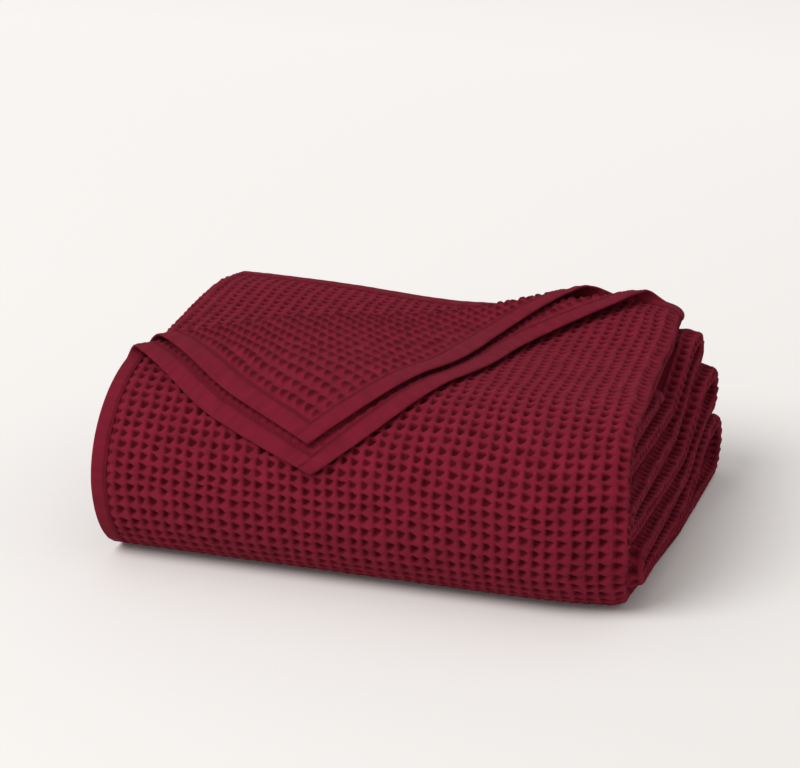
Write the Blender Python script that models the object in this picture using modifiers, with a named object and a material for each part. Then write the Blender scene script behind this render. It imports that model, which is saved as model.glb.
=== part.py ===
"""Waffle weave cotton blanket, folded: one sheet of cloth and its sewn-on bindings.

The cloth is cut flat in its own coordinates, u across the blanket and v along it. Its bend
lines are cut into it, then fold() carries every corner of that flat pattern to its place in
the folded pad, and Solidify gives the sheet its thickness. The folding goes in three steps:
  1. across: four plies side by side become one strip, like a flattened M;
  2. along: the strip lies back and forth in eight layers, and its last length wraps round
     the front of the others and over their top;
  3. the two upper plies are turned over at the back left corner of the top layer.
Metres, +Z up. The origin is in the middle of the face that the pad rests on.
"""

import math

import bmesh
import bpy
import numpy as np
from mathutils import Vector

COLLECTION = "waffle_blanket"

# Driving dimensions.
CLOTH_T = 0.0027  # thickness of the sheet
PLY = 0.0045  # from one ply to the next in the strip
STRIP = 0.425  # length of the strip, along X
HEM_INSET = 0.0078  # the inner ply's side hem stops short of the strip's end
BIND_W = 0.0135  # width of a binding
BIND_T = 0.0027  # its thickness, the cloth's edge and both faces of the tape
GAP = 0.0012  # between the cloth's edge and the binding sewn to it

# One row for each layer of the strip, bottom to top. Heights are of the layer's middle, at
# its front and at its back; y counts back from the front of the pad, and x from its left end.
# The strip's foremost line, halfway round the front, has a row of reaches of its own.
LAYER_COLUMNS = ("z_front", "z_back", "y_front", "y_back", "left", "right")
LAYERS = np.array(
    [
        (0.0081, 0.0081, 0.054, 0.316, 0.008, 0.428),
        (0.0265, 0.0510, 0.042, 0.316, 0.007, 0.432),
        (0.0449, 0.0680, 0.042, 0.311, 0.005, 0.429),
        (0.0633, 0.0955, 0.036, 0.311, 0.004, 0.426),
        (0.0817, 0.1125, 0.036, 0.298, 0.004, 0.420),
        (0.1001, 0.1305, 0.069, 0.298, 0.003, 0.415),
        (0.1187, 0.1187, 0.069, 0.185, 0.003, 0.411),
        (0.1378, 0.1500, 0.096, 0.314, 0.004, 0.406),
    ]
)
FRONT_Y = 0.0081  # middle of the strip where it turns round the front
FRONT_Z = 0.066  # height of the pad's foremost line
FRONT_REACH = (0.002, 0.424)
FRONT_LOW_REACH = (0.008, 0.417)  # where it meets the bottom layer
RISE = (0.190, 0.288)  # the layers climb between these y, where the back folds spread
RISE_LEFT = 0.45  # how much of that climb there is at the left end

# The turned corner: the line that it is rolled about, and how loose the roll is. Pairs that
# are "by ply" give the outer ply and then the inner one.
CORNER_ANGLE = math.radians(30.0)  # the line's angle to the strip
CORNER_REACH = 0.1883  # from the cloth's corner to that line
ROLL_R = 0.0053  # radius of the roll at the outer ply
ROLL_LOFT = 0.0024  # extra radius at its right end
ROLL_SPAN = 0.05  # how far along the line the loft fades
CURL_LEFT = (0.0170, 0.0146)  # the roll bends back this much at its left end, by ply
CURL_RIGHT = (0.0200, 0.0061)  # and at its right end
CURL_SPANS = (0.135, 0.160)  # how far along the line each bend fades
SETTLE = 0.089  # how far past the roll the flap takes to lie down
FLAP_BOW = 0.035  # the flap's end hem bows out this much between its corner and the roll
SIDE_BOW = -0.0068  # its side hem bows in
BOW_FADE = 0.10  # how far into the flap that reaches
LIP_UP = 0.0085  # to the right of the roll the end hem stands up this much
LIP_DEPTH = 0.028  # over this width
LIP_FROM = (0.2, 0.3)  # between these x it rises
LIP_TO = (0.37, 0.42)  # and between these it falls again

# Edges of cloth and tape in cloth coordinates.
TURN_OUT = 1.5 * PLY
TURN_IN = 0.5 * PLY
TURN_BULGE = 1.9  # the outer turn stands out this much further than a round one
END_SLIP = 0.0052  # the plies' end hems step back this much across the whole cloth
RUN_OUT = STRIP - TURN_OUT * TURN_BULGE  # the outer plies run this far before their turn
ARC_OUT = 0.5 * math.pi * TURN_OUT * (1.0 + TURN_BULGE)
ARC_IN = math.pi * TURN_IN
U_MARKS = np.cumsum(
    [0.0, RUN_OUT, ARC_OUT, RUN_OUT - TURN_IN, ARC_IN, RUN_OUT - TURN_IN, ARC_IN, RUN_OUT - HEM_INSET]
)
WIDTH = U_MARKS[-1]


def smooth(t):
    """An ease from 0 to 1 with level ends."""
    t = np.clip(t, 0.0, 1.0)
    return t * t * (3.0 - 2.0 * t)


def ease_out(t):
    """From 1 to 0 with level ends."""
    return 1.0 - smooth(t)


def build_route():
    """The strip's course as segments: top layer, front, bottom layer, then back and forth."""
    route = [("run", 7, 1)]
    route.append(("front_upper", 7, 0))
    route.append(("front_lower", 0, 0))
    for layer in range(0, 6):
        forward = layer % 2 == 0
        route.append(("run", layer, -1 if forward else 1))
        route.append(("back" if forward else "inner", layer, 0))
    route.append(("run", 6, -1))
    lengths = []
    for kind, k, _ in route:
        z_f, z_b, y_f, y_b = LAYERS[k, :4]
        if kind == "run":
            lengths.append(y_b - y_f)
        elif kind == "front_upper":
            lengths.append(0.5 * math.pi * 0.5 * (y_f - FRONT_Y + z_f - FRONT_Z))
        elif kind == "front_lower":
            lengths.append(0.5 * math.pi * 0.5 * (y_f - FRONT_Y + FRONT_Z - z_f))
        else:
            column = 1 if kind == "back" else 0
            lengths.append(0.5 * math.pi * (LAYERS[k + 1, column] - LAYERS[k, column]))
    return route, np.concatenate([[0.0], np.cumsum(lengths)])


ROUTE, V_MARKS = build_route()
LENGTH = V_MARKS[-1]


def build_reaches():
    """How far left and right the strip lies, at chosen lengths along it."""
    places = [0.5 * V_MARKS[1], V_MARKS[2], V_MARKS[3]]
    reaches = [LAYERS[7, 4:], FRONT_REACH, FRONT_LOW_REACH]
    for i, (kind, k, _) in enumerate(ROUTE):
        if kind == "run" and i > 0:
            places.append(0.5 * (V_MARKS[i] + V_MARKS[i + 1]))
            reaches.append(LAYERS[k, 4:])
    return np.array(places), np.array(reaches)


REACH_AT, REACHES = build_reaches()


def across(u):
    """Step 1: a place across the cloth gives x along the strip and n out from its middle."""
    m = U_MARKS
    x = np.zeros_like(u)
    n = np.zeros_like(u)
    right = RUN_OUT
    spots = (
        (m[0], m[1], 0.0, right, TURN_OUT),
        (m[2], m[3], right, TURN_IN, -TURN_OUT),
        (m[4], m[5], TURN_IN, RUN_OUT, -TURN_IN),
        (m[6], m[7], RUN_OUT, HEM_INSET, TURN_IN),
    )
    for start, end, x0, x1, level in spots:
        here = (u >= start) & (u <= end)
        x = np.where(here, x0 + (u - start) / (end - start) * (x1 - x0), x)
        n = np.where(here, level, n)
    turns = (
        (m[1], m[2], right, 0.0, TURN_OUT, 1, 1),
        (m[3], m[4], TURN_IN, -PLY, TURN_IN, -1, -1),
        (m[5], m[6], RUN_OUT, 0.0, TURN_IN, 1, -1),
    )
    for start, end, x0, middle, radius, side, first in turns:
        here = (u > start) & (u < end)
        angle = math.pi * (u - start) / (end - start)
        bulge = TURN_BULGE if radius == TURN_OUT else 1.0
        x = np.where(here, x0 + side * radius * bulge * np.sin(angle), x)
        n = np.where(here, middle + first * radius * np.cos(angle), n)
    return x, n


def layer_rows(k, x):
    """A layer's sizes where the strip's own x is given: its fan-out grows to the right."""
    z_f, z_b, y_f, y_b = LAYERS[k, :4]
    share = RISE_LEFT + (1.0 - RISE_LEFT) * smooth(x / STRIP)
    return z_f, z_f + (z_b - z_f) * share, y_f, y_b


def middle_line(v, x):
    """Step 2: y and z of the strip's middle, for a length v along it, at the strip's own x."""
    y = np.zeros_like(v)
    z = np.zeros_like(v)
    for i, (kind, k, toward) in enumerate(ROUTE):
        low = V_MARKS[i] if i else -1.0
        high = V_MARKS[i + 1] if i + 1 < len(ROUTE) else LENGTH + 1.0
        here = (v >= low) & (v < high)
        if not here.any():
            continue
        t = (v - V_MARKS[i]) / (V_MARKS[i + 1] - V_MARKS[i])
        z_f, z_b, y_f, y_b = layer_rows(k, x)
        if kind == "run":
            far = t if toward < 0 else 1.0 - t
            y_here = y_f + far * (y_b - y_f)
            climb = smooth((y_here - RISE[0]) / (RISE[1] - RISE[0]))
            z_here = z_f + (z_b - z_f) * climb
        elif kind in ("front_upper", "front_lower"):
            angle = 0.5 * math.pi * (t if kind == "front_upper" else 1.0 - t)
            y_here = y_f - (y_f - FRONT_Y) * np.sin(angle)
            z_here = FRONT_Z + (z_f - FRONT_Z) * np.cos(angle)
        else:
            above = layer_rows(k + 1, x)
            end = 1 if kind == "back" else 0
            low_z = z_b if end else z_f
            radius = 0.5 * (above[end] - low_z)
            side = 1.0 if end else -1.0
            y_here = (y_b if end else y_f) + side * radius * np.sin(math.pi * t)
            z_here = low_z + radius * (1.0 - np.cos(math.pi * t))
        y = np.where(here, y_here, y)
        z = np.where(here, z_here, z)
    return y, z


def strip_point(x, v, n):
    """A point n out from the strip's middle, in the pad's frame."""
    step = 0.0004
    y0, z0 = middle_line(v - step, x)
    y1, z1 = middle_line(v + step, x)
    y, z = middle_line(v, x)
    run = np.hypot(y1 - y0, z1 - z0)
    y = y + n * (z1 - z0) / run
    z = z - n * (y1 - y0) / run
    left = np.interp(v, REACH_AT, REACHES[:, 0])
    right = np.interp(v, REACH_AT, REACHES[:, 1])
    return left + x / STRIP * (right - left), y, z


TOWARD = np.array([-math.sin(CORNER_ANGLE), -math.cos(CORNER_ANGLE)])  # to the cloth's corner
ALONG = np.array([math.cos(CORNER_ANGLE), -math.sin(CORNER_ANGLE)])  # along the line, to the right
LINE_LEFT = -CORNER_REACH * math.tan(CORNER_ANGLE)  # where the line meets x = 0
LINE_RIGHT = CORNER_REACH / math.tan(CORNER_ANGLE)  # where it meets the end hem


def roll_curl(along, lift):
    """How far the roll's line bends forward at a place along it."""
    inner = lift / PLY
    left = CURL_LEFT[0] + (CURL_LEFT[1] - CURL_LEFT[0]) * inner
    right = CURL_RIGHT[0] + (CURL_RIGHT[1] - CURL_RIGHT[0]) * inner
    curl = left * ease_out((along - LINE_LEFT) / CURL_SPANS[0])
    return curl + right * ease_out((LINE_RIGHT - along) / CURL_SPANS[1])


def turn_corner(x, v, n, lift):
    """Step 3: rolls what lies past the line forward, about an axis over the outer ply."""
    from_line = CORNER_REACH + x * TOWARD[0] + v * TOWARD[1]
    along = x * ALONG[0] + v * ALONG[1]
    past = from_line + roll_curl(along, lift)
    radius = ROLL_R + lift + ROLL_LOFT * ease_out((LINE_RIGHT - along) / ROLL_SPAN)
    angle = np.clip(past / radius, 0.0, math.pi)
    beyond = np.maximum(past - math.pi * radius, 0.0)
    move = np.where(past > 0.0, radius * np.sin(angle) - beyond - past, 0.0)
    flat = PLY * 1.2 + 2.0 * lift
    lie = flat + (2.0 * radius - flat) * ease_out(beyond / SETTLE)
    rise = np.where(beyond > 0.0, lie, radius * (1.0 - np.cos(angle)))
    rise = np.where(past > 0.0, rise, 0.0)
    lip_reach = smooth((x - LIP_FROM[0]) / (LIP_FROM[1] - LIP_FROM[0]))
    lip_reach = lip_reach * ease_out((x - LIP_TO[0]) / (LIP_TO[1] - LIP_TO[0]))
    rise += LIP_UP * lip_reach * ease_out(v / LIP_DEPTH) * ease_out(past / 0.012)
    settled = smooth(beyond / SETTLE)
    end_share = np.clip(x / LINE_RIGHT, 0.0, 1.0) ** 0.75
    end_bow = FLAP_BOW * np.sin(math.pi * end_share) * settled
    end_bow = end_bow * np.exp(-np.maximum(v, 0.0) / BOW_FADE)
    side_share = np.clip(v * math.cos(CORNER_ANGLE) / CORNER_REACH, 0.0, 1.0)
    side_bow = SIDE_BOW * np.sin(math.pi * side_share) * settled
    side_bow = side_bow * np.exp(-np.maximum(x, 0.0) / BOW_FADE)
    twice = 2.0 * CORNER_ANGLE
    x = x + move * TOWARD[0] + end_bow * math.sin(twice) + side_bow * math.cos(twice)
    v = v + move * TOWARD[1] + end_bow * math.cos(twice) - side_bow * math.sin(twice)
    return x, v, n + rise


def fold(u, v, off=0.0):
    """Cloth coordinates to the folded pad; off is a distance out from the cloth's own face."""
    x, n = across(u)
    v = v + END_SLIP * u / WIDTH
    outer = u < U_MARKS[1]
    inner = u > U_MARKS[6]
    n = n + off
    x_o, v_o, n_o = turn_corner(x, v, n, 0.0)
    x_i, v_i, n_i = turn_corner(x, v, n, PLY)
    x = np.where(outer, x_o, np.where(inner, x_i, x))
    v = np.where(outer, v_o, np.where(inner, v_i, v))
    n = np.where(outer, n_o, np.where(inner, n_i, n))
    return settle(*strip_point(x, v, n))


def settle(x, y, z):
    """The pad's own weight dips its top, swells its left end and rounds its other corners."""
    dip = 0.055 * smooth((y - 0.12) / 0.16) * np.exp(-(((x - 0.215) / 0.085) ** 2))
    high = smooth((z - 0.085) / 0.05)
    top = smooth((z - 0.130) / 0.016)
    droop = 0.006 * smooth((x - 0.355) / 0.06) * smooth((y - 0.20) / 0.11)
    swell = 0.008 * np.exp(-((x / 0.11) ** 2))
    swell = swell * np.sin(math.pi * np.clip((y - 0.12) / 0.21, 0.0, 1.0))
    left_pull = 0.009 * smooth((y - 0.27) / 0.05) * np.exp(-np.maximum(x, 0.0) / 0.03)
    right_pull = 0.007 * smooth((y - 0.23) / 0.08) * smooth((x - 0.35) / 0.06)
    front_round = 0.011 * smooth((x - 0.34) / 0.09) ** 2 * np.exp(-np.maximum(y, 0.0) / 0.045)
    x = x + high * left_pull - top * right_pull
    return x, y + front_round, z * (1.0 - dip) + high * swell - top * droop


# Cloth cells for bending: how many flat facets each kind of turn gets.
FACETS = {"front_upper": 6, "front_lower": 4, "back": 5, "inner": 3}
X_LINES = 3  # straight facets across each ply
RISE_LINES = 1
ROLL_STEP = 0.0037  # between the cuts along the roll
ROLL_CROSS = 0.036  # between the cuts across it
SETTLE_SHARES = (0.3, 0.65, 1.0)  # cuts past the roll, as shares of the way the flap lies down
LIP_CUTS = (0.012, 0.028)


def bend_lines_across():
    """Places across the cloth where it is creased: the hairpin turns and a few between."""
    m = U_MARKS
    lines = []
    for start, end, count in ((m[1], m[2], 5), (m[3], m[4], 3), (m[5], m[6], 3)):
        lines += list(np.linspace(start, end, count + 1))
    for start, end in ((m[0], m[1]), (m[2], m[3]), (m[4], m[5]), (m[6], m[7])):
        lines += list(np.linspace(start, end, X_LINES + 1)[1:-1])
    return lines


def bend_lines_along():
    """Places along the cloth where it is bent: every turn, and the climb at the back."""
    lines = list(V_MARKS[1:-1])
    for i, (kind, k, toward) in enumerate(ROUTE):
        start, end = V_MARKS[i], V_MARKS[i + 1]
        if kind != "run":
            lines += list(np.linspace(start, end, FACETS[kind] + 1)[1:-1])
            continue
        y_f, y_b = LAYERS[k, 2:4]
        for y in np.linspace(RISE[0], RISE[1], RISE_LINES + 2):
            far = (y - y_f) / (y_b - y_f)
            if 0.0 < far < 1.0 and k > 0:
                lines.append(start + (far if toward < 0 else 1.0 - far) * (end - start))
    return lines


def cut(bm, point, normal, faces=None):
    """Cuts the flat pattern, or only the given faces of it, along one line."""
    faces = list(bm.faces) if faces is None else faces
    edges = {edge for face in faces for edge in face.edges}
    verts = {vert for face in faces for vert in face.verts}
    bmesh.ops.bisect_plane(
        bm,
        geom=[*faces, *edges, *verts],
        dist=1e-6,
        plane_co=Vector((*point, 0.0)),
        plane_no=Vector((*normal, 0.0)),
    )


def cut_corner(bm, lift, x_of_u, side):
    """Cuts one upper ply where it rolls over and where the turned flap bends over the front."""

    slip = END_SLIP / WIDTH
    u_edge = x_of_u(0.0, True)

    def upper_faces(past_least=-0.03, past_most=1.0, v_most=1.0, x_least=-1.0):
        found = []
        for face in bm.faces:
            u, v, _ = face.calc_center_median()
            in_ply = u < U_MARKS[1] if side > 0 else u > U_MARKS[6]
            x = x_of_u(u)
            past = CORNER_REACH + x * TOWARD[0] + (v + slip * u) * TOWARD[1]
            near = past_least < past < past_most and v < v_most and x > x_least
            if in_ply and near:
                found.append(face)
        return found

    radius = ROLL_R + lift
    tight = math.pi * radius
    first = -max(CURL_LEFT + CURL_RIGHT) - 0.001
    count = round((tight - first) / ROLL_STEP)
    places = list(np.linspace(first, tight, count + 1))
    places += [tight + share * SETTLE for share in SETTLE_SHARES]
    for past in places:
        v_on_line = (CORNER_REACH - past) / -TOWARD[1] - slip * u_edge
        normal = (side * TOWARD[0] + slip * TOWARD[1], TOWARD[1])
        cut(bm, (u_edge, v_on_line), normal, upper_faces())
    cross = round((LINE_RIGHT - LINE_LEFT) / ROLL_CROSS)
    for along in np.linspace(LINE_LEFT, LINE_RIGHT, cross + 1)[1:-1]:
        v_on_line = along / ALONG[1] - slip * u_edge
        normal = (side * ALONG[0] + slip * ALONG[1], ALONG[1])
        cut(bm, (u_edge, v_on_line), normal, upper_faces(-0.022, tight + 0.01))
    for place in LIP_CUTS:
        lip = upper_faces(-1.0, 0.03, LIP_DEPTH + 0.01, LIP_FROM[0] - 0.03)
        cut(bm, (0.0, place), (slip, 1.0), lip)
    normal = np.array([-2.0 * TOWARD[0] * TOWARD[1], 1.0 - 2.0 * TOWARD[1] ** 2])
    front = np.linspace(V_MARKS[1], V_MARKS[2], FACETS["front_upper"] + 1)
    for place in front[:5]:
        # On x = 0 the flap lies at this place along the strip.
        free = CORNER_REACH - 0.5 * math.pi * radius
        v_source = (place + 2.0 * free * TOWARD[1]) / normal[1] - slip * u_edge
        cut(bm, (u_edge, v_source), (side * normal[0] + slip * normal[1], normal[1]), upper_faces())


def flat_pattern(u0, u1, v0, v1):
    """A flat rectangle of cloth, cut along every bend line that crosses it."""
    bm = bmesh.new()
    bmesh.ops.create_grid(bm, x_segments=1, y_segments=1, size=0.5)
    bmesh.ops.scale(bm, verts=bm.verts, vec=(u1 - u0, v1 - v0, 1.0))
    middle = (0.5 * (u0 + u1), 0.5 * (v0 + v1), 0.0)
    bmesh.ops.translate(bm, verts=bm.verts, vec=middle)
    for u in bend_lines_across():
        if u0 + 1e-4 < u < u1 - 1e-4:
            cut(bm, (u, v0), (1.0, 0.0))
    slip = END_SLIP / WIDTH
    for v in bend_lines_along():
        if v0 + slip * u0 + 1e-4 < v < v1 + slip * u1 - 1e-4:
            cut(bm, (0.0, v), (slip, 1.0))
    far_edge = U_MARKS[6] + RUN_OUT
    cut_corner(bm, 0.0, lambda u, edge=False: 0.0 if edge else u, 1.0)
    cut_corner(bm, PLY, lambda u, edge=False: far_edge if edge else far_edge - u, -1.0)
    bmesh.ops.dissolve_degenerate(bm, dist=2e-4, edges=bm.edges)
    bmesh.ops.triangulate(bm, faces=bm.faces)
    return bm


def cotton(name, colour):
    material = bpy.data.materials.new(name)
    material.use_nodes = True
    shader = material.node_tree.nodes["Principled BSDF"]
    shader.inputs["Base Color"].default_value = colour
    shader.inputs["Roughness"].default_value = 0.9
    shader.inputs["Metallic"].default_value = 0.0
    return material


def sheet(name, bounds, thickness, material, collection):
    """One folded sheet as a named object: its pattern, folded, and given its thickness."""
    bm = flat_pattern(*bounds)
    flat = np.array([vert.co[:2] for vert in bm.verts])
    folded = np.stack(fold(flat[:, 0], flat[:, 1]), axis=1)
    for vert, place in zip(bm.verts, folded):
        vert.co = place
    mesh = bpy.data.meshes.new(name)
    bm.to_mesh(mesh)
    bm.free()
    mesh.materials.append(material)
    piece = bpy.data.objects.new(name, mesh)
    collection.objects.link(piece)
    wall = piece.modifiers.new("thickness", "SOLIDIFY")
    wall.thickness = thickness
    wall.offset = 0.0
    return piece


def rest_on_origin(pieces):
    """Moves the pad so that the origin is in the middle of the face that it rests on."""
    graph = bpy.context.evaluated_depsgraph_get()
    corners = []
    for piece in pieces:
        mesh = piece.evaluated_get(graph).to_mesh()
        places = np.empty(len(mesh.vertices) * 3)
        mesh.vertices.foreach_get("co", places)
        corners.append(places.reshape(-1, 3))
    everything = np.concatenate(corners)
    low, high = everything.min(axis=0), everything.max(axis=0)
    shift = Vector((-(low[0] + high[0]) / 2, -(low[1] + high[1]) / 2, -low[2]))
    for piece in pieces:
        for vert in piece.data.vertices:
            vert.co += shift
    print("shift", tuple(shift), "size", high - low)


def main():
    for old in list(bpy.data.objects):
        bpy.data.objects.remove(old, do_unlink=True)
    collection = bpy.data.collections.new(COLLECTION)
    bpy.context.scene.collection.children.link(collection)
    waffle = cotton("waffle_cotton", (0.17, 0.012, 0.028, 1.0))
    tape = cotton("binding_cotton", (0.19, 0.015, 0.032, 1.0))
    inset = BIND_W + GAP
    pieces = [
        sheet(
            "waffle_panel",
            (inset, WIDTH - inset, inset, LENGTH - inset),
            CLOTH_T,
            waffle,
            collection,
        ),
        sheet("binding_top_end", (0.0, WIDTH, 0.0, BIND_W), BIND_T, tape, collection),
        sheet("binding_inner_end", (0.0, WIDTH, LENGTH - BIND_W, LENGTH), BIND_T, tape, collection),
        sheet("binding_outer_side", (0.0, BIND_W, inset, LENGTH - inset), BIND_T, tape, collection),
        sheet(
            "binding_inner_side",
            (WIDTH - BIND_W, WIDTH, inset, LENGTH - inset),
            BIND_T,
            tape,
            collection,
        ),
    ]
    rest_on_origin(pieces)


main()
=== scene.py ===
# %% [markdown]
# # Waffle weave cotton blanket, folded
# One sheet of thick cotton waffle cloth, with a smooth cotton tape sewn round its edge. It is
# folded into a pad of eight layers, each of four plies, and the two upper plies are turned
# back at one corner. The folding is a rule, so one function carries flat cloth to its place
# in the pad, and every piece here is cut flat and then sent through it.

# %% Load the frame
import math

import bpy
import numpy as np
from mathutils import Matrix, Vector


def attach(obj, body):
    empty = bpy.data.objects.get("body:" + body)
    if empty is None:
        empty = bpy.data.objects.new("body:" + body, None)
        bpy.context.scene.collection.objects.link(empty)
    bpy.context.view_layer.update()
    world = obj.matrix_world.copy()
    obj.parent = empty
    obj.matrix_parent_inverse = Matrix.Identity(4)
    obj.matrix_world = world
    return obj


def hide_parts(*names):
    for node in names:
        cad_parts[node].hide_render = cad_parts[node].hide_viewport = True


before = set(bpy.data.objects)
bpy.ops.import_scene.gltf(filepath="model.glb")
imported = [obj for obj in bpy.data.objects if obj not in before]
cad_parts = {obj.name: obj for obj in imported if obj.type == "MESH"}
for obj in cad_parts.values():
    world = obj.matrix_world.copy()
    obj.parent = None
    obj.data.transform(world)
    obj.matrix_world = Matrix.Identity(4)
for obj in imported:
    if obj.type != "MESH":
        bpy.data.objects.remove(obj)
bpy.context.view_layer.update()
print("frame nodes:", sorted(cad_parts))

# %% [markdown]
# ## Sizes of the folded cloth
# These are the sizes that the solid was folded from, a few of them eased by some
# millimetres. All are in metres: u runs across the blanket and v along it. The table has
# one row for each layer of the strip, bottom to top.
# A layer's height and reach differ a little from its neighbours', because hands folded it.

# %% The cloth and its layers
PLY = 0.0045  # from one ply to the next
STRIP = 0.425  # length of the folded strip
HEM_INSET = 0.0078  # the inner ply's hem stops short of the strip's end
BIND_W = 0.0135  # width of the sewn-on tape
FRONT_Y = 0.0081  # middle of the strip where it turns round the front
FRONT_Z = 0.066
FRONT_REACH = (0.0045, 0.424)  # its left and right ends there
FRONT_LOW_REACH = (0.008, 0.417)  # and where it meets the bottom layer
RISE = (0.190, 0.288)  # the layers climb between these y
RISE_LEFT = 0.45  # the share of that climb at the left end
LAYERS = np.array(
    [
        # middle's z at the front and back, y at the front and back, left and right ends
        (0.0081, 0.0081, 0.054, 0.316, 0.008, 0.428),
        (0.0265, 0.0510, 0.042, 0.316, 0.007, 0.432),
        (0.0449, 0.0680, 0.042, 0.311, 0.005, 0.429),
        (0.0633, 0.0955, 0.036, 0.311, 0.004, 0.426),
        (0.0817, 0.1125, 0.036, 0.298, 0.004, 0.420),
        (0.1001, 0.1305, 0.069, 0.298, 0.003, 0.415),
        (0.1187, 0.1187, 0.069, 0.185, 0.003, 0.411),
        (0.1378, 0.1500, 0.096, 0.314, 0.004, 0.406),
    ]
)
PAD_CORNER = np.array([-0.21678, -0.17204, 0.00003])  # the pad's own origin in the part
print(len(LAYERS), "layers, the strip is", STRIP, "m long")

# %% The turned corner and the turns between plies
CORNER_ANGLE = math.radians(30.0)  # the roll's angle to the strip
CORNER_REACH = 0.1883  # from the cloth's corner to the roll
ROLL_R = 0.0053
ROLL_LOFT = 0.0003  # the roll opens this much more at its right end
ROLL_SPAN = 0.05
CURL_LEFT = (0.0170, 0.0146)  # the roll bends forward this much at its left end, by ply
CURL_RIGHT = (0.0200, 0.0061)  # and at its right end
CURL_SPANS = (0.135, 0.160)  # how far along the roll each bend fades
SETTLE = 0.089  # how far past the roll the flap takes to lie down
FLAP_BOW = 0.035  # the flap's end hem bows out
SIDE_BOW = -0.0068  # and its side hem in
BOW_FADE = 0.10  # how far into the flap that reaches
LIP_UP = 0.0085  # the end hem stands up this much to the right of the roll
LIP_DEPTH = 0.028
LIP_FROM = (0.2, 0.3)  # between these x the hem rises
LIP_TO = (0.37, 0.42)  # and between these it lies down again
LIP_CLEAR = (0.004, 0.035)  # it starts this far before the roll, and is all up this far on
TURN_OUT = 1.5 * PLY
TURN_IN = 0.5 * PLY
TURN_BULGE = 1.9  # the outer turn stands out this much further than a round one
END_SLIP = 0.0052  # the plies' end hems step back this much across the cloth
RUN_OUT = STRIP - TURN_OUT * TURN_BULGE
ARC_OUT = 0.5 * math.pi * TURN_OUT * (1.0 + TURN_BULGE)
ARC_IN = math.pi * TURN_IN
PLY_LENGTHS = [
    RUN_OUT, ARC_OUT, RUN_OUT - TURN_IN, ARC_IN, RUN_OUT - TURN_IN, ARC_IN, RUN_OUT - HEM_INSET
]
U_MARKS = np.cumsum([0.0, *PLY_LENGTHS])
WIDTH = U_MARKS[-1]
TOWARD = (-math.sin(CORNER_ANGLE), -math.cos(CORNER_ANGLE))
ALONG = (math.cos(CORNER_ANGLE), -math.sin(CORNER_ANGLE))
LINE_LEFT = -CORNER_REACH * math.tan(CORNER_ANGLE)
LINE_RIGHT = CORNER_REACH / math.tan(CORNER_ANGLE)

# %% [markdown]
# ## Folding as a rule
# A real blanket is folded by hand in three moves, and so is this one. It could be done with
# a cloth simulation, but the pad holds 32 plies that lie 2 mm apart, which is slow and
# unsure. Three short functions do it exactly: across(), middle_line() and turn_corner().


# %% Helpers and the strip's course
def smooth(t):
    """An ease from 0 to 1 with level ends."""
    t = np.clip(t, 0.0, 1.0)
    return t * t * (3.0 - 2.0 * t)


def ease_out(t):
    """From 1 to 0 with level ends."""
    return 1.0 - smooth(t)


def build_route():
    """The strip's course as segments: top layer, front, bottom layer, then back and forth."""
    route = [("run", 7, 1), ("front_upper", 7, 0), ("front_lower", 0, 0)]
    for layer in range(0, 6):
        forward = layer % 2 == 0
        route.append(("run", layer, -1 if forward else 1))
        route.append(("back" if forward else "inner", layer, 0))
    route.append(("run", 6, -1))
    lengths = []
    for kind, k, _ in route:
        z_f, z_b, y_f, y_b = LAYERS[k, :4]
        if kind == "run":
            lengths.append(y_b - y_f)
        elif kind == "front_upper":
            lengths.append(0.25 * math.pi * (y_f - FRONT_Y + z_f - FRONT_Z))
        elif kind == "front_lower":
            lengths.append(0.25 * math.pi * (y_f - FRONT_Y + FRONT_Z - z_f))
        else:
            column = 1 if kind == "back" else 0
            lengths.append(0.5 * math.pi * (LAYERS[k + 1, column] - LAYERS[k, column]))
    return route, np.concatenate([[0.0], np.cumsum(lengths)])


def build_reaches():
    """How far left and right the strip lies, at chosen lengths along it."""
    places = [0.5 * V_MARKS[1], V_MARKS[2], V_MARKS[3]]
    reaches = [LAYERS[7, 4:], FRONT_REACH, FRONT_LOW_REACH]
    for i, (kind, k, _) in enumerate(ROUTE):
        if kind == "run" and i > 0:
            places.append(0.5 * (V_MARKS[i] + V_MARKS[i + 1]))
            reaches.append(LAYERS[k, 4:])
    return np.array(places), np.array(reaches)


ROUTE, V_MARKS = build_route()
LENGTH = V_MARKS[-1]
REACH_AT, REACHES = build_reaches()
print(f"flat cloth {WIDTH:.3f} x {LENGTH:.3f} m")


# %% Move 1: four plies side by side become one strip
def across(u):
    """A place across the cloth gives x along the strip and n out from its middle."""
    m = U_MARKS
    x = np.zeros_like(u)
    n = np.zeros_like(u)
    spots = (
        (m[0], m[1], 0.0, RUN_OUT, TURN_OUT),
        (m[2], m[3], RUN_OUT, TURN_IN, -TURN_OUT),
        (m[4], m[5], TURN_IN, RUN_OUT, -TURN_IN),
        (m[6], m[7], RUN_OUT, HEM_INSET, TURN_IN),
    )
    for start, end, x0, x1, level in spots:
        here = (u >= start - 0.01 * (start == 0.0)) & (u <= end + 0.01 * (end == WIDTH))
        x = np.where(here, x0 + (u - start) / (end - start) * (x1 - x0), x)
        n = np.where(here, level, n)
    turns = (
        (m[1], m[2], RUN_OUT, 0.0, TURN_OUT, 1, 1, TURN_BULGE),
        (m[3], m[4], TURN_IN, -PLY, TURN_IN, -1, -1, 1.0),
        (m[5], m[6], RUN_OUT, 0.0, TURN_IN, 1, -1, 1.0),
    )
    for start, end, x0, middle, radius, side, first, bulge in turns:
        here = (u > start) & (u < end)
        angle = math.pi * (u - start) / (end - start)
        x = np.where(here, x0 + side * radius * bulge * np.sin(angle), x)
        n = np.where(here, middle + first * radius * np.cos(angle), n)
    return x, n


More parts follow.
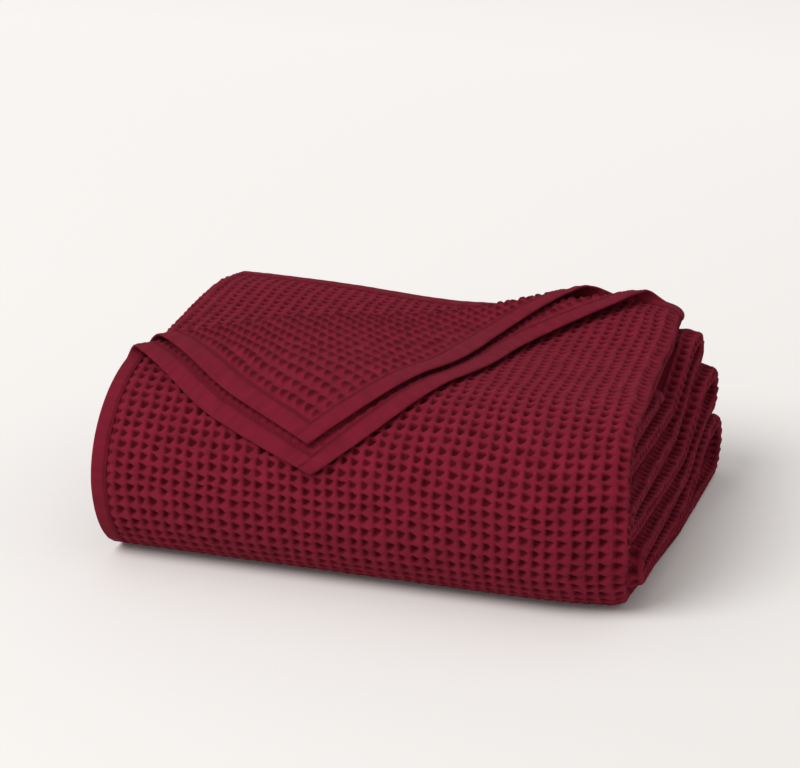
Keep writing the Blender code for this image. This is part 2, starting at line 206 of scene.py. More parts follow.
# %% Move 2: the strip goes round the front and lies back and forth
def layer_rows(k, x):
    """A layer's heights and ends where the strip's own x is given."""
    z_f, z_b, y_f, y_b = LAYERS[k, :4]
    share = RISE_LEFT + (1.0 - RISE_LEFT) * smooth(x / STRIP)
    return z_f, z_f + (z_b - z_f) * share, y_f, y_b


def middle_line(v, x):
    """y and z of the strip's middle, for a length v along it, at the strip's own x."""
    y = np.zeros_like(v)
    z = np.zeros_like(v)
    for i, (kind, k, toward) in enumerate(ROUTE):
        low = V_MARKS[i] if i else -1.0
        high = V_MARKS[i + 1] if i + 1 < len(ROUTE) else LENGTH + 1.0
        here = np.flatnonzero((v >= low) & (v < high))
        if not len(here):
            continue
        t = (v[here] - V_MARKS[i]) / (V_MARKS[i + 1] - V_MARKS[i])
        z_f, z_b, y_f, y_b = layer_rows(k, x[here])
        if kind == "run":
            far = t if toward < 0 else 1.0 - t
            y_here = y_f + far * (y_b - y_f)
            z_here = z_f + (z_b - z_f) * smooth((y_here - RISE[0]) / (RISE[1] - RISE[0]))
        elif kind in ("front_upper", "front_lower"):
            angle = 0.5 * math.pi * (t if kind == "front_upper" else 1.0 - t)
            y_here = y_f - (y_f - FRONT_Y) * np.sin(angle)
            z_here = FRONT_Z + (z_f - FRONT_Z) * np.cos(angle)
        else:
            above = layer_rows(k + 1, x[here])
            end = 1 if kind == "back" else 0
            low_z = z_b if end else z_f
            radius = 0.5 * (above[end] - low_z)
            side = 1.0 if end else -1.0
            y_here = (y_b if end else y_f) + side * radius * np.sin(math.pi * t)
            z_here = low_z + radius * (1.0 - np.cos(math.pi * t))
        y[here] = y_here
        z[here] = z_here
    return y, z


def strip_point(x, v, n):
    """A point n out from the strip's middle."""
    step = 0.0004
    y0, z0 = middle_line(v - step, x)
    y1, z1 = middle_line(v + step, x)
    y, z = middle_line(v, x)
    run = np.hypot(y1 - y0, z1 - z0)
    y = y + n * (z1 - z0) / run
    z = z - n * (y1 - y0) / run
    left = np.interp(v, REACH_AT, REACHES[:, 0])
    right = np.interp(v, REACH_AT, REACHES[:, 1])
    return left + x / STRIP * (right - left), y, z


# %% Move 3: the two upper plies are rolled over at the corner
def turn_corner(x, v, n, lift):
    """Rolls what lies past the line forward, about an axis over the outer ply."""
    from_line = CORNER_REACH + x * TOWARD[0] + v * TOWARD[1]
    along = x * ALONG[0] + v * ALONG[1]
    from_left = along - LINE_LEFT
    from_right = LINE_RIGHT - along
    inner = lift / PLY
    at_left = CURL_LEFT[0] + (CURL_LEFT[1] - CURL_LEFT[0]) * inner
    at_right = CURL_RIGHT[0] + (CURL_RIGHT[1] - CURL_RIGHT[0]) * inner
    curl = at_left * ease_out(from_left / CURL_SPANS[0])
    curl += at_right * ease_out(from_right / CURL_SPANS[1])
    past = from_line + curl
    radius = ROLL_R + lift + ROLL_LOFT * ease_out(from_right / ROLL_SPAN)
    angle = np.clip(past / radius, 0.0, math.pi)
    beyond = np.maximum(past - math.pi * radius, 0.0)
    move = np.where(past > 0.0, radius * np.sin(angle) - beyond - past, 0.0)
    flat = PLY * 1.2 + 2.0 * lift
    lie = flat + (2.0 * radius - flat) * ease_out(beyond / SETTLE)
    rise = np.where(beyond > 0.0, lie, radius * (1.0 - np.cos(angle)))
    rise = np.where(past > 0.0, rise, 0.0)
    lip = smooth((x - LIP_FROM[0]) / (LIP_FROM[1] - LIP_FROM[0]))
    lip = lip * ease_out((x - LIP_TO[0]) / (LIP_TO[1] - LIP_TO[0]))
    rise += LIP_UP * lip * ease_out(v / LIP_DEPTH) * smooth((LIP_CLEAR[0] - past) / LIP_CLEAR[1])
    settled = smooth(beyond / SETTLE)
    end_share = np.clip(x / LINE_RIGHT, 0.0, 1.0) ** 0.75
    end_bow = FLAP_BOW * np.sin(math.pi * end_share) * settled
    end_bow *= np.exp(-np.maximum(v, 0.0) / BOW_FADE)
    side_share = np.clip(v * math.cos(CORNER_ANGLE) / CORNER_REACH, 0.0, 1.0)
    side_bow = SIDE_BOW * np.sin(math.pi * side_share) * settled
    side_bow *= np.exp(-np.maximum(x, 0.0) / BOW_FADE)
    twice = 2.0 * CORNER_ANGLE
    x = x + move * TOWARD[0] + end_bow * math.sin(twice) + side_bow * math.cos(twice)
    v = v + move * TOWARD[1] + end_bow * math.cos(twice) - side_bow * math.sin(twice)
    return x, v, n + rise


# %% [markdown]
# ## The whole fold, and which way the cloth faces
# fold() chains the three moves. The pad's own weight then dips its top a little and rounds
# its corners; settle() moves all the plies together, which keeps them from cutting each
# other. place() also finds the cloth's own outward direction, by folding four neighbours of
# each point, so a raised rib stands square to the cloth anywhere.


# %% fold() and place()
def waves(a, b, seed, count=7):
    """Smooth unevenness between about -1 and 1, from a few crossing waves about 1 apart."""
    rng = np.random.default_rng(seed)
    total = np.zeros_like(a)
    for _ in range(count):
        turn, phase = rng.uniform(0.0, 2.0 * math.pi, 2)
        pitch = rng.uniform(0.7, 1.5)
        total += np.sin(2.0 * math.pi * (a * math.cos(turn) + b * math.sin(turn)) / pitch + phase)
    return total / math.sqrt(count)


def settle(x, y, z):
    """Dips the pad's top in the middle, swells it at the left and rounds its other corners."""
    dip = 0.055 * smooth((y - 0.12) / 0.16) * np.exp(-(((x - 0.215) / 0.085) ** 2))
    high = smooth((z - 0.085) / 0.05)
    top = smooth((z - 0.130) / 0.016)
    droop = 0.006 * smooth((x - 0.355) / 0.06) * smooth((y - 0.20) / 0.11)
    swell = 0.008 * np.exp(-((x / 0.11) ** 2))
    swell = swell * np.sin(math.pi * np.clip((y - 0.12) / 0.21, 0.0, 1.0))
    left_pull = 0.009 * smooth((y - 0.27) / 0.05) * np.exp(-np.maximum(x, 0.0) / 0.03)
    right_pull = 0.007 * smooth((y - 0.23) / 0.08) * smooth((x - 0.35) / 0.06)
    front_round = 0.019 * smooth((x - 0.33) / 0.10) ** 2 * np.exp(-np.maximum(y, 0.0) / 0.045)
    x = x + high * left_pull - top * right_pull
    return x, y + front_round, z * (1.0 - dip) + high * swell - top * droop


def fold(u, v):
    """Cloth coordinates to the folded pad, as an array of points."""
    x, n = across(u)
    v = v + END_SLIP * u / WIDTH
    outer = u < U_MARKS[1]
    inner = u > U_MARKS[6]
    turned = outer | inner
    lift = np.where(inner, PLY, 0.0)[turned]
    x[turned], v[turned], n[turned] = turn_corner(x[turned], v[turned], n[turned], lift)
    points = np.stack(settle(*strip_point(x, v, n)), axis=1)
    return points + PAD_CORNER


def place(u, v, off):
    """Folded points, each moved off along the cloth's own outward direction."""
    step = 0.0003
    along_u = fold(u + step, v) - fold(u - step, v)
    along_v = fold(u, v + step) - fold(u, v - step)
    outward = np.cross(along_v, along_u)
    outward /= np.linalg.norm(outward, axis=1, keepdims=True)
    return fold(u, v) + outward * off[:, None]


# %% [markdown]
# ## The waffle weave
# A waffle weave floats its yarns in stepped squares, so the cloth draws up into raised ribs
# round deep pits. The ribs along the cloth are broad and run on, and those across it are
# thinner and sag between them. A bump map would look flat at the pad's edges, so the
# relief is in the mesh. Each pit is three-cornered, with a flat side at the left, and no
# two are quite alike. Seen from its back the cloth is the same, half a cell along.

# %% Cell sizes
CELLS_ACROSS = 175
CELLS_ALONG = 284
CELL_U = WIDTH / CELLS_ACROSS
CELL_V = LENGTH / CELLS_ALONG
RIB_UP = 0.0014  # a rib's crest above the middle of the sheet
PIT_DOWN = 0.0020
RIB_SAG = 0.12  # the cross rib's sag, as a share of a cell, as are those below
RIB_LEAN = 0.14  # it also climbs to the right
PIT_LEFT = 0.30  # a pit is three-cornered: its flat side is this far left of the middle
PIT_LONG = 0.64  # and its tip this far to the right of that
PIT_HIGH = 0.355  # half its height at the flat side
PIT_WALL = 0.25  # the slope from rib to pit
ODDS = np.random.default_rng(21).uniform(-1.0, 1.0, (4, 64, 64))  # no two cells are alike
print(f"cell {CELL_U * 1000:.2f} x {CELL_V * 1000:.2f} mm")


# %% Height of the weave
def weave_lattice(u, v, back):
    """Places in the grid of cells: whole numbers are the ribs' middles."""
    a = u / CELL_U + 0.10 * waves(u / 0.09, v / 0.09, 11) + 0.05 * waves(u / 0.02, v / 0.03, 12)
    b = v / CELL_V + 0.10 * waves(u / 0.10, v / 0.10, 13) + 0.06 * waves(u / 0.025, v / 0.02, 14)
    return (a + 0.5, b + 0.5) if back else (a, b)


def pit_share(u, v, back=False):
    """How deep in its cell's pit a place is, from 0 on the ribs to about 1."""
    a, b = weave_lattice(u, v, back)
    column = np.floor(a)
    fa = a - column - 0.5
    b = b - RIB_SAG * np.cos(math.pi * fa) ** 2 + RIB_LEAN * fa
    row = np.floor(b)
    fb = b - row - 0.5
    side = 1.0 - smooth((0.39 - np.abs(fa)) / 0.24)
    cross = 1.0 - smooth((0.45 - np.abs(fb)) / 0.26)
    cell = (column.astype(int) % 64, row.astype(int) % 64)
    from_left = fa + PIT_LEFT - 0.04 * ODDS[0][cell]
    taper = np.clip(from_left / (PIT_LONG + 0.07 * ODDS[1][cell]), 0.0, 1.0)
    half = PIT_HIGH * (1.0 - taper**2.2)
    inside = half - 0.02 - np.abs(fb - 0.04 * ODDS[2][cell])
    pit = smooth(0.5 + from_left / PIT_WALL) * smooth(0.5 + inside / PIT_WALL)
    return pit * (0.93 + 0.12 * ODDS[3][cell]), side, cross


def relief(u, v, back=False):
    """The outer face's height over the sheet's middle, and the pit's share."""
    pit, side, cross = pit_share(u, v, back)
    down = PIT_DOWN * (1.0 - 0.3 * smooth((V_MARKS[1] - v) / 0.06))  # drawn flatter on top
    height = RIB_UP - (RIB_UP + down) * pit - 0.0004 * cross * (1.0 - side)
    edge = np.minimum(np.minimum(u, WIDTH - u), np.minimum(v, LENGTH - v))
    under_tape = smooth((edge - BIND_W + 0.002) / 0.006)
    return (-height if back else height) * under_tape, pit * under_tape


# %% [markdown]
# ## Cutting the cloth in patches
# All of it at the finest mesh would be five million triangles, and most lies out of sight.
# So the sheet is cut along its ribs in patches, each a grid as fine as what shows of it:
# the front, top, turned flap, back folds and right end are fine, and the plies between
# them are plain. A grid is added flat, then its corners are moved to their places.


# %% Helpers for grids
def rungs(start, end, step):
    """Evenly spaced places from start to end, about step apart."""
    return np.linspace(start, end, max(1, round((end - start) / step)) + 1)


def joined_rungs(*parts):
    """Several runs of places as one, each place once."""
    return np.unique(np.round(np.concatenate(parts), 7))


def deselect():
    for thing in bpy.context.selected_objects:
        thing.select_set(False)


def grid_piece(name, columns, rows, shape):
    """A grid with these columns and rows, shaped by a function of the flat cloth."""
    deselect()
    bpy.ops.mesh.primitive_grid_add(
        x_subdivisions=len(columns) - 1, y_subdivisions=len(rows) - 1, size=1.0
    )
    piece = bpy.context.object
    piece.name = name
    mesh = piece.data
    mesh.name = name
    flat = np.empty(len(mesh.vertices) * 3, np.float32)
    mesh.vertices.foreach_get("co", flat)
    flat = flat.reshape(-1, 3)
    u = columns[np.rint((flat[:, 0] + 0.5) * (len(columns) - 1)).astype(int)]
    v = rows[np.rint((flat[:, 1] + 0.5) * (len(rows) - 1)).astype(int)]
    points, values, cloth_u, cloth_v = shape(u, v)
    mesh.vertices.foreach_set("co", points.astype(np.float32).ravel())
    for title, value in values.items():
        mesh.attributes.new(title, "FLOAT", "POINT").data.foreach_set(
            "value", value.astype(np.float32)
        )
    corners = np.empty(len(mesh.loops), np.int32)
    mesh.loops.foreach_get("vertex_index", corners)
    places = np.stack([cloth_u, cloth_v], axis=1)[corners]
    mesh.uv_layers[0].data.foreach_set("uv", places.astype(np.float32).ravel())
    mesh.polygons.foreach_set("use_smooth", np.ones(len(mesh.polygons), bool))
    mesh.update()
    mesh.flip_normals()  # along the cloth is downwards here, so the grid came out face down
    return piece


# %% Where each ply's patches begin and end
TUCK = BIND_W - 0.003  # the waffle cloth runs in under the tape this far from the edge
M = U_MARKS
V = V_MARKS


def rib_u(place):
    """The nearest rib along the cloth to a place across it."""
    return round(place / CELL_U) * CELL_U


def rib_v(place):
    """The nearest rib across the cloth to a place along it."""
    return round(place / CELL_V) * CELL_V


TURN_START = rib_u(M[1])
TURN_END = rib_u(M[2]) + CELL_U
LEFT_START = rib_u(M[3]) - 2.0 * CELL_U
LEFT_END = rib_u(M[4]) + 2.0 * CELL_U
SHOWN_END = LEFT_END + 34.0 * CELL_U
FLAP_START = rib_u(WIDTH - 35.5 * CELL_U)
FRONT_START = rib_v(V[1])  # the corner's patches end here too
FRONT_END = rib_v(V[3])
BACKS = []
for mark, (kind, _, _) in enumerate(ROUTE):
    if kind == "back":
        BACKS.append((rib_v(V[mark]) - 3.0 * CELL_V, rib_v(V[mark + 1]) + 3.0 * CELL_V))
print("back folds at", [tuple(round(float(e), 3) for e in back) for back in BACKS])


# %% Cut the patches
def waffle_patch(name, columns, rows, back=False, plain=False):
    """One patch of waffle cloth in its place in the pad."""

    def shape(u, v):
        if plain:
            zero = np.zeros_like(u)
            return place(u, v, zero), {"pit": zero}, u, v
        height, pit = relief(u, v, back)
        # The pit's share goes along to the material, which paints shade into the pits with it.
        return place(u, v, height), {"pit": pit}, u, v

    piece = grid_piece(name, columns, rows, shape)
    flat = (float(columns[-1] - columns[0]), float(rows[-1] - rows[0]))
    CLOTH.append((piece, flat))
    print(f"{name}: {flat[0]:.3f} x {flat[1]:.3f} m, {2 * len(piece.data.polygons)} triangles")
    return piece


CLOTH = []
FINE_U = CELL_U / 8.0
FINE_V = CELL_V / 7.0
outer_fine = rungs(TUCK, TURN_START, FINE_U)
waffle_patch("waffle_top", outer_fine, rungs(TUCK, FRONT_START, FINE_V))
waffle_patch("waffle_front", outer_fine, rungs(FRONT_START, FRONT_END, FINE_V))
waffle_patch(
    "waffle_base",
    rungs(TUCK, TURN_START, CELL_U / 4.0),
    rungs(FRONT_END, BACKS[0][0], CELL_V / 3.5),
)
back_columns = rungs(TUCK, TURN_START, CELL_U / 6.0)
for title, (start, end) in zip(("low", "middle", "high"), BACKS):
    waffle_patch(f"waffle_back_{title}", back_columns, rungs(start, end, CELL_V / 5.0))
plain_columns = rungs(TUCK, TURN_START, CELL_U)
starts = [back[1] for back in BACKS]
ends = [BACKS[1][0], BACKS[2][0], LENGTH - TUCK]
for number, (start, end) in enumerate(zip(starts, ends)):
    rows = rungs(start, end, CELL_V)
    waffle_patch(f"waffle_between_{number + 1}", plain_columns, rows, plain=True)

# %% The right end, the left fold and the plies inside
waffle_patch(
    "waffle_right_end",
    rungs(TURN_START, TURN_END, CELL_U / 6.0),
    rungs(TUCK, LENGTH - TUCK, CELL_V / 5.0),
)
waffle_patch(
    "waffle_left_fold",
    rungs(LEFT_START, LEFT_END, CELL_U / 6.0),
    rungs(TUCK, LENGTH - TUCK, CELL_V / 3.0),
)
waffle_patch(
    "waffle_inner_ply",
    rungs(TURN_END, LEFT_START, 2.0 * CELL_U),
    rungs(TUCK, LENGTH - TUCK, CELL_V),
    plain=True,
)
corner_rows = rungs(TUCK, FRONT_START, FINE_V)
waffle_patch("waffle_exposed", rungs(LEFT_END, SHOWN_END, FINE_U), corner_rows)
waffle_patch("waffle_flap", rungs(FLAP_START, WIDTH - TUCK, FINE_U), corner_rows, back=True)
inner_turn = rungs(M[5], M[6], ARC_IN / 6.0)
waffle_patch(
    "waffle_middle_plies",
    joined_rungs(
        rungs(LEFT_END, M[5], 2.0 * CELL_U), inner_turn, rungs(M[6], WIDTH - TUCK, 2.0 * CELL_U)
    ),
    rungs(FRONT_START, LENGTH - TUCK, CELL_V),
    plain=True,
)
waffle_patch(
    "waffle_middle_top",
    joined_rungs(rungs(SHOWN_END, M[5], CELL_U), inner_turn, rungs(M[6], FLAP_START, CELL_U)),
    rungs(TUCK, FRONT_START, CELL_V),
    plain=True,
)

# %% [markdown]
# ## The tape round the edge
# A smooth cotton tape is folded over the cloth's raw edge and sewn down through all of it,
# near its inner edge. The seam pinches the tape, and it puckers a little between stitches.
# A swept curve would not follow the folds, so the tape is a long grid too: its short side
# goes in over one face, round the edge and back under the other.

# %% The tape's section
TAPE_UP = 0.00120  # half the thickness at the tape's middle
SEAM_IN = 0.0022  # the seam's distance from the tape's inner edge
TAPE_SECTION = np.array(
    [
        (1.000, 0.15),
        (0.995, 0.58),
        (0.965, 0.78),
        (0.925, 0.70),
        (0.881, 0.50),
        (0.835, 0.74),
        (0.740, 0.94),
        (0.540, 1.00),
        (0.320, 1.00),
        (0.150, 0.96),
        (0.050, 0.80),
        (0.012, 0.48),
        (0.000, 0.00),
    ]
)  # share of the tape's width in from the edge, share of its half thickness
under = TAPE_SECTION[-2::-1] * (1.0, -1.0)
TAPE_PROFILE = np.concatenate([TAPE_SECTION, under])
print("tape", 2.0 * TAPE_UP * 1000, "mm thick, from a section of", len(TAPE_PROFILE), "points")


# %% One length of tape
def beside(edge, deep, t):
    """Where on the cloth a place t along an edge and deep in from it is."""
    places = {
        "top_end": (t, deep),
        "inner_end": (t, LENGTH - deep),
        "outer_side": (deep, t),
        "inner_side": (WIDTH - deep, t),
    }
    return places[edge]


def tape_piece(name, edge, start, end):
    """A length of tape over one edge of the cloth, from start to end along it."""
    on_end = edge in ("top_end", "inner_end")
    along = joined_rungs(
        rungs(start, start + 0.001, 0.0002),
        rungs(start + 0.001, end - 0.001, 0.0060 if edge == "inner_end" else 0.0024),
        rungs(end - 0.001, end, 0.0002),
    )
    slots = np.arange(len(TAPE_PROFILE), dtype=float)
    seed = 31 + len(TAPES)

    def shape(slot, t):
        share, up = TAPE_PROFILE[slot.astype(int)].T
        seam_pull = np.exp(-(((share - 0.881) / 0.10) ** 2))
        wave = waves(t / 0.014, 0.0 * t, seed) * 0.12 + waves(t / 0.05, 0.0 * t, seed + 7) * 0.10
        up = up * TAPE_UP * (1.0 + wave * (0.35 + seam_pull))
        if on_end:
            corner = np.minimum(t - start, end - t)
            up *= 1.0 + 0.40 * (1.0 - smooth((corner - BIND_W) / 0.003))
            up *= np.sqrt(np.clip(corner / 0.0007, 0.0, 1.0))
        else:
            up *= 0.55 + 0.45 * smooth(np.minimum(t - start, end - t) / 0.004)
        deep = share * BIND_W * (1.0 + 0.02 * waves(t / 0.03, 0.0 * t, seed + 3))
        u, v = beside(edge, deep, t)
        slant = waves(t / 0.0075 + 0.7 * share, 0.0 * t, seed + 11)
        pucker = 0.00018
        if edge == "top_end":
            pucker = pucker + 0.00040 * smooth((across(u)[0] - 0.2) / 0.08)
        up = up + pucker * slant * smooth(share / 0.1) * smooth((1.0 - share) / 0.3)
        # Painted shade along the seam's groove, carried in the pit attribute.
        shade = 0.80 * seam_pull
        around = slot / (len(TAPE_PROFILE) - 1) * 2.0 * BIND_W
        return place(u, v, up), {"pit": shade}, around, t

    piece = grid_piece(name, slots, along, shape)
    if edge in ("outer_side", "inner_end"):
        piece.data.flip_normals()
    TAPES.append((piece, (2.0 * BIND_W, float(end - start))))
    print(f"{name}: {end - start:.3f} m, {2 * len(piece.data.polygons)} triangles")
    return piece


TAPES = []
side_start = BIND_W - 0.004
tape_piece("tape_top_end", "top_end", 0.0, WIDTH)
tape_piece("tape_inner_end", "inner_end", 0.0, WIDTH)
tape_piece("tape_outer_side", "outer_side", side_start, LENGTH - side_start)
tape_piece("tape_inner_side", "inner_side", side_start, LENGTH - side_start)

# %% [markdown]
# ## The seam's thread
# A sewing machine's thread shows as a row of short bars. It could be a bevelled curve, but
# it has to follow every fold too, so it is a narrow grid along each face of the tape, which
# rises and dips once for each stitch. The hidden end hem is left without.

# %% Stitches
STITCH = 0.0042  # from one stitch to the next
THREAD = 0.00042  # half the thread's width
SPREAD = np.array([-1.0, -0.5, 0.5, 1.0])  # the thread's section, across
RISE_OF_THREAD = np.array([-0.4, 1.0, 1.0, -0.4])  # and up


def stitch_piece(name, edge, start, end, side):
    """The seam's thread on one face of a tape, coming up and going down stitch by stitch."""
    along = rungs(start + BIND_W, end - BIND_W, STITCH / 5.0)
    slots = np.arange(len(SPREAD), dtype=float)

    def shape(slot, t):
        spread = SPREAD[slot.astype(int)]
        rise = RISE_OF_THREAD[slot.astype(int)]
        shown = np.sin(math.pi * t / STITCH) ** 2
        deep = BIND_W - SEAM_IN * 0.75 + spread * THREAD * (0.45 + 0.55 * shown)
        off = side * (0.5 * TAPE_UP + THREAD * (1.5 * rise * shown - 0.6 * (1.0 - shown)))
        u, v = beside(edge, deep, t)
        return place(u, v, off), {"pit": 0.0 * t}, deep, t

    piece = grid_piece(name, slots, along, shape)
    if (edge in ("outer_side", "inner_end")) != (side > 0):
        piece.data.flip_normals()
    STITCHES.append((piece, edge))
    return piece


STITCHES = []
for edge, end in (("top_end", WIDTH), ("outer_side", LENGTH), ("inner_side", LENGTH)):
    for face, side in (("out", 1.0), ("under", -1.0)):
        stitch_piece(f"stitches_{edge}_{face}", edge, 0.0, end, side)
print(len(STITCHES), "rows of stitches")
made = [piece for piece, _ in CLOTH + TAPES + STITCHES]
print("triangles in all:", sum(2 * len(piece.data.polygons) for piece in made))


# %% [markdown]
# ## Cotton, dyed
# Waffle cloth and tape are the same dyed cotton, matt and a little fuzzy. One node group
# makes the yarn for both: it gives a height for the bump and a shade that varies, both
# from the cloth's own measured map, so the yarns follow every fold. That shade is random
# tone with a painted highlight on the raised threads, and the colour is darkened down in
# the weave's pits and along the tape's seam as painted shade.


# %% The shared yarn group
def add_node(tree, kind, **values):
    node = tree.nodes.new(kind)
    for title, value in values.items():
        setattr(node, title, value)
    return node


def build_yarn_group():
    """Yarn: fine crossing threads with fuzz. Gives a height and a shade, both uneven: the shade
    is random tone, lighter on the raised threads as a painted highlight.
    """
    group = bpy.data.node_groups.new("dyed_yarn", "ShaderNodeTree")
    sockets = (
        ("Map", "INPUT", "NodeSocketVector", None),
        ("Threads per metre", "INPUT", "NodeSocketFloat", 1300.0),
        ("Fuzz", "INPUT", "NodeSocketFloat", 0.5),
        ("Height", "OUTPUT", "NodeSocketFloat", None),
        ("Shade", "OUTPUT", "NodeSocketFloat", None),
    )
    for title, way, kind, value in sockets:
        socket = group.interface.new_socket(title, in_out=way, socket_type=kind)
        if value is not None:
            socket.default_value = value
    nodes_in = add_node(group, "NodeGroupInput")
    nodes_out = add_node(group, "NodeGroupOutput")
    link = group.links.new
    scale = add_node(group, "ShaderNodeVectorMath", operation="SCALE")
    link(nodes_in.outputs["Map"], scale.inputs[0])
    link(nodes_in.outputs["Threads per metre"], scale.inputs["Scale"])
    warp = add_node(group, "ShaderNodeTexWave", wave_type="BANDS", bands_direction="X")
    weft = add_node(group, "ShaderNodeTexWave", wave_type="BANDS", bands_direction="Y")
    for wave in (warp, weft):
        wave.inputs["Scale"].default_value = 0.314
        wave.inputs["Distortion"].default_value = 1.6
        wave.inputs["Detail"].default_value = 2.0
        wave.inputs["Detail Scale"].default_value = 0.6
        link(scale.outputs[0], wave.inputs["Vector"])
    threads = add_node(group, "ShaderNodeMath", operation="MAXIMUM")
    link(warp.outputs["Fac"], threads.inputs[0])
    link(weft.outputs["Fac"], threads.inputs[1])
    fuzz = add_node(group, "ShaderNodeTexNoise")
    fuzz.inputs["Scale"].default_value = 0.8
    fuzz.inputs["Detail"].default_value = 5.0
    fuzz.inputs["Roughness"].default_value = 0.7
    link(scale.outputs[0], fuzz.inputs["Vector"])
    height = add_node(group, "ShaderNodeMix", data_type="FLOAT")
    link(nodes_in.outputs["Fuzz"], height.inputs["Factor"])
    link(threads.outputs[0], height.inputs[2])
    link(fuzz.outputs["Fac"], height.inputs[3])
    link(height.outputs[0], nodes_out.inputs["Height"])
    cloud = add_node(group, "ShaderNodeTexNoise")
    cloud.inputs["Scale"].default_value = 0.05
    cloud.inputs["Detail"].default_value = 4.0
    link(scale.outputs[0], cloud.inputs["Vector"])
    # The shade: random tone from the cloud, times the yarn's height, so the raised threads come
    # out lighter as a painted highlight.
    shade = add_node(group, "ShaderNodeMath", operation="MULTIPLY")
    link(cloud.outputs["Fac"], shade.inputs[0])
    link(height.outputs[0], shade.inputs[1])
    link(shade.outputs[0], nodes_out.inputs["Shade"])
    return group


YARN = build_yarn_group()


# %% Cotton materials
def cotton(name, crest, hollow_shade, threads, fuzz, bump):
    """Dyed cotton: the crest colour on top, darkened down in the weave's pits and along the
    tape's seam towards a darker colour, which is painted shade.
    """
    material = bpy.data.materials.new(name)
    material.use_nodes = True
    tree = material.node_tree
    link = tree.links.new
    shader = tree.nodes["Principled BSDF"]
    shader.inputs["Roughness"].default_value = 0.92
    shader.inputs["Specular IOR Level"].default_value = 0.10
    shader.inputs["Sheen Weight"].default_value = 0.03
    shader.inputs["Sheen Roughness"].default_value = 0.5
    shader.inputs["Sheen Tint"].default_value = (0.9, 0.45, 0.5, 1.0)
    place_map = add_node(tree, "ShaderNodeUVMap")
    yarn = add_node(tree, "ShaderNodeGroup", node_tree=YARN)
    yarn.inputs["Threads per metre"].default_value = threads
    yarn.inputs["Fuzz"].default_value = fuzz
    link(place_map.outputs["UV"], yarn.inputs["Map"])
    # Painted shade: the pit attribute mixes the crest colour towards the darker colour in the
    # pits and in the seam's groove.
    pit = add_node(tree, "ShaderNodeAttribute", attribute_name="pit")
    sink = add_node(tree, "ShaderNodeMapRange")
    sink.inputs["From Min"].default_value = 0.05
    sink.inputs["From Max"].default_value = 0.95
    link(pit.outputs["Fac"], sink.inputs["Value"])
    depth = add_node(tree, "ShaderNodeMix", data_type="RGBA")
    depth.inputs[6].default_value = (*crest, 1.0)
    depth.inputs[7].default_value = (*hollow_shade, 1.0)
    link(sink.outputs["Result"], depth.inputs["Factor"])
    # The yarn's shade brightens and darkens the colour: random tone, and a painted highlight on
    # the raised threads.
    vary = add_node(tree, "ShaderNodeHueSaturation")
    bright = add_node(tree, "ShaderNodeMapRange")
    bright.inputs["From Min"].default_value = 0.05
    bright.inputs["From Max"].default_value = 0.50
    bright.inputs["To Min"].default_value = 0.72
    bright.inputs["To Max"].default_value = 1.26
    link(yarn.outputs["Shade"], bright.inputs["Value"])
    link(bright.outputs["Result"], vary.inputs["Value"])
    link(depth.outputs[2], vary.inputs["Color"])
    link(vary.outputs["Color"], shader.inputs["Base Color"])
    relief_node = add_node(tree, "ShaderNodeBump")
    relief_node.inputs["Strength"].default_value = 0.85
    relief_node.inputs["Distance"].default_value = bump
    link(yarn.outputs["Height"], relief_node.inputs["Height"])
    link(relief_node.outputs["Normal"], shader.inputs["Normal"])
    return material


# The crest colours are the cottons' own; the darker second colours are painted shade for the pits
# and the seam.
WAFFLE_COTTON = cotton(
    "waffle_cotton", (0.223, 0.0128, 0.0312), (0.085, 0.0028, 0.0075), 1300.0, 0.55, 0.00060
)
TAPE_COTTON = cotton(
    "tape_cotton", (0.178, 0.0100, 0.0245), (0.11, 0.005, 0.012), 2400.0, 0.5, 0.00015
)
print("materials:", WAFFLE_COTTON.name, TAPE_COTTON.name)

# %% [markdown]
# ## Fitting it to the frame
# Every patch stands for the solid that was folded the same way, and keeps the size
# that it was cut to beside it.

# %% Ride and replace
for piece, flat in CLOTH:
    piece.data.materials.append(WAFFLE_COTTON)
    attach(piece, "root")
    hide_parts("waffle_panel")
for piece, flat in TAPES:
    piece.data.materials.append(TAPE_COTTON)
    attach(piece, "root")
    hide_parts(piece.name.replace("tape_", "binding_"))
for piece, edge in STITCHES:
    piece.data.materials.append(TAPE_COTTON)
    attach(piece, "root")
    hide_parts(f"binding_{edge}")

# %% [markdown]
# ## Floor, light and camera
# A plain pale floor, one large soft light from the upper left in front, and a long lens.
# Straight to the camera the floor is paler than it is to the cloth, so that it looks nearly
# white while little of it shines back on the shaded right end.

# %% Floor
deselect()
bpy.ops.mesh.primitive_plane_add(size=12.0, location=(0.0, 0.0, 0.0))
floor = bpy.context.object
floor.name = "floor"


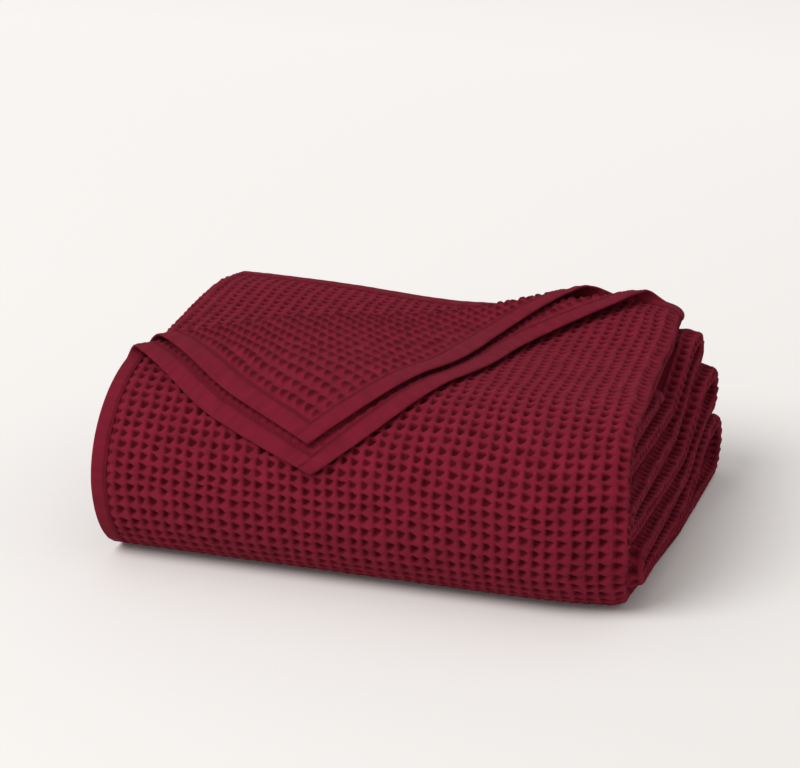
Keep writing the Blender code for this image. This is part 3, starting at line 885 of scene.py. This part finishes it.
def floor_paper():
    """Pale paper, paler still and a little lit towards its far side where the camera sees it."""
    paper = bpy.data.materials.new("floor_paper")
    paper.use_nodes = True
    tree = paper.node_tree
    link = tree.links.new
    plain = tree.nodes["Principled BSDF"]
    plain.inputs["Base Color"].default_value = (0.80, 0.78, 0.76, 1.0)
    plain.inputs["Roughness"].default_value = 0.9
    bright = add_node(tree, "ShaderNodeBsdfDiffuse")
    bright.inputs["Color"].default_value = (0.97, 0.952, 0.934, 1.0)
    where = add_node(tree, "ShaderNodeTexCoord")
    apart = add_node(tree, "ShaderNodeSeparateXYZ")
    link(where.outputs["Object"], apart.inputs[0])
    far = add_node(tree, "ShaderNodeMapRange")
    far.inputs["From Min"].default_value = -0.3
    far.inputs["From Max"].default_value = 1.6
    far.inputs["To Min"].default_value = 0.0
    far.inputs["To Max"].default_value = 0.22
    link(apart.outputs["Y"], far.inputs["Value"])
    glow = add_node(tree, "ShaderNodeEmission")
    glow.inputs["Color"].default_value = (1.0, 0.99, 0.98, 1.0)
    link(far.outputs["Result"], glow.inputs["Strength"])
    both = add_node(tree, "ShaderNodeAddShader")
    link(bright.outputs[0], both.inputs[0])
    link(glow.outputs[0], both.inputs[1])
    seen = add_node(tree, "ShaderNodeLightPath")
    choose = add_node(tree, "ShaderNodeMixShader")
    link(seen.outputs["Is Camera Ray"], choose.inputs["Fac"])
    link(plain.outputs[0], choose.inputs[1])
    link(both.outputs[0], choose.inputs[2])
    link(choose.outputs[0], tree.nodes["Material Output"].inputs["Surface"])
    return paper


floor.data.materials.append(floor_paper())
print("floor", [round(side, 1) for side in floor.dimensions])

# %% Light and sky
world = bpy.data.worlds.new("studio")
bpy.context.scene.world = world
world.use_nodes = True
world.node_tree.nodes["Background"].inputs["Color"].default_value = (1.0, 0.98, 0.96, 1.0)
world.node_tree.nodes["Background"].inputs["Strength"].default_value = 0.50


def area_light(name, place_at, aim, side, power):
    lamp = bpy.data.lights.new(name, "AREA")
    lamp.shape = "DISK"
    lamp.size = side
    lamp.energy = power
    thing = bpy.data.objects.new(name, lamp)
    bpy.context.scene.collection.objects.link(thing)
    thing.location = place_at
    direction = Vector(aim) - Vector(place_at)
    thing.rotation_euler = direction.to_track_quat("-Z", "Y").to_euler()
    return thing


key = area_light("key", (-1.75, -2.5, 3.4), (0.0, 0.0, 0.05), 3.0, 124.0)
print("key light", key.data.energy, "W,", key.data.size, "m across")

# %% Camera
AIM = Vector((-0.0444, 0.0827, 0.078))
AZIMUTH = math.radians(18.0)
ELEVATION = math.radians(20.5)
DISTANCE = 2.165
camera = bpy.data.objects.new("camera", bpy.data.cameras.new("camera"))
bpy.context.scene.collection.objects.link(camera)
camera.data.lens = 116.4
camera.data.sensor_width = 36.0
away = Vector(
    (
        math.sin(AZIMUTH) * math.cos(ELEVATION),
        -math.cos(AZIMUTH) * math.cos(ELEVATION),
        math.sin(ELEVATION),
    )
)
camera.location = AIM + away * DISTANCE
camera.rotation_euler = (-away).to_track_quat("-Z", "Y").to_euler()
bpy.context.scene.camera = camera
bpy.context.scene.view_settings.view_transform = "Standard"
print("camera at", [round(place, 3) for place in camera.location])
